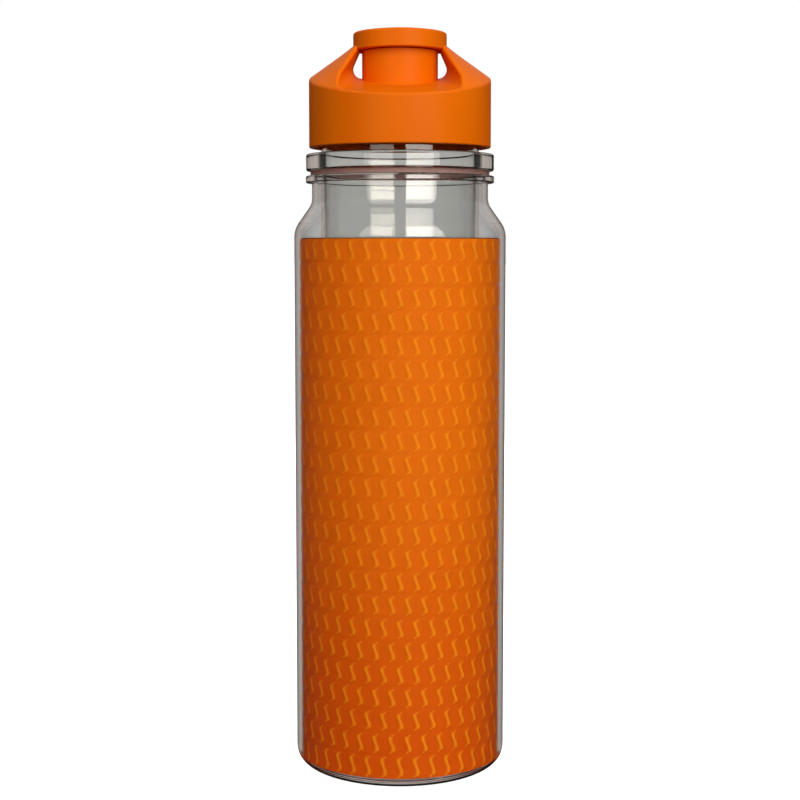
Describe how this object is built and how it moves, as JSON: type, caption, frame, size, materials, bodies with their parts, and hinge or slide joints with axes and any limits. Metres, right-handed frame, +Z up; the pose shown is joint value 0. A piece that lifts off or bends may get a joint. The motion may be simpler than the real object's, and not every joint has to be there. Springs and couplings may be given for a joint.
{
  "type": "double-wall drinking bottle",
  "caption": "Tall clear double-wall drinking bottle with a textured coloured sleeve inside its wall, a screw cap with side arms and a pull-up spout.",
  "frame": {"origin": "centre of the base ring, on the surface that the bottle stands on", "axes": "+Z up along the bottle's axis, +X through one arm of the cap, -Y towards the front"},
  "size_m": [0.073, 0.073, 0.2551],
  "materials": {
    "clear_shell": "clear, glossy",
    "sleeve_orange": "glossy embossed sheet",
    "backing_card": "matt dark card",
    "clear_tape": "clear tape",
    "clear_liner": "clear, glossy",
    "seal_rubber": "soft, satin",
    "gasket_rubber": "soft, satin",
    "cap_orange": "satin moulded",
    "insert_orange": "satin moulded",
    "plug_orange": "satin moulded",
    "valve_rubber": "soft, satin",
    "spout_orange": "satin moulded",
    "ring_rubber": "soft, satin"
  },
  "bodies": {
    "shell": {"outer_shell": "clear_shell", "decor_sleeve": "sleeve_orange", "sleeve_backing": "backing_card", "seam_tape": "clear_tape"},
    "liner": {"inner_liner": "clear_liner", "liner_seal": "seal_rubber"},
    "gasket": {"cap_gasket": "gasket_rubber"},
    "cap": {"cap_shell": "cap_orange", "thread_ring": "insert_orange", "spout_guide": "insert_orange", "plug_pin": "plug_orange", "air_valve": "valve_rubber"},
    "spout": {"pull_spout": "spout_orange", "spout_ring": "ring_rubber"}
  },
  "joints": [
    {"name": "liner_lift", "type": "slide", "parent": "shell", "child": "liner", "axis": [0, 0, 1], "range_m": [0, 0.21]},
    {"name": "cap_lift", "type": "slide", "parent": "liner", "child": "gasket", "axis": [0, 0, 1], "range_m": [0, 0.01501]},
    {"name": "cap_turn", "type": "hinge", "parent": "gasket", "child": "cap", "pos_m": [0, 0, 0.215], "axis": [0, 0, 1], "range_deg": [0, 900]},
    {"name": "spout_pull", "type": "slide", "parent": "cap", "child": "spout", "axis": [0, 0, 1], "range_m": [0, 0.0062]}
  ],
  "couplings": [
    {"joint": "cap_lift", "follows": "cap_turn", "m_per_rad": 0.00095493}
  ]
}
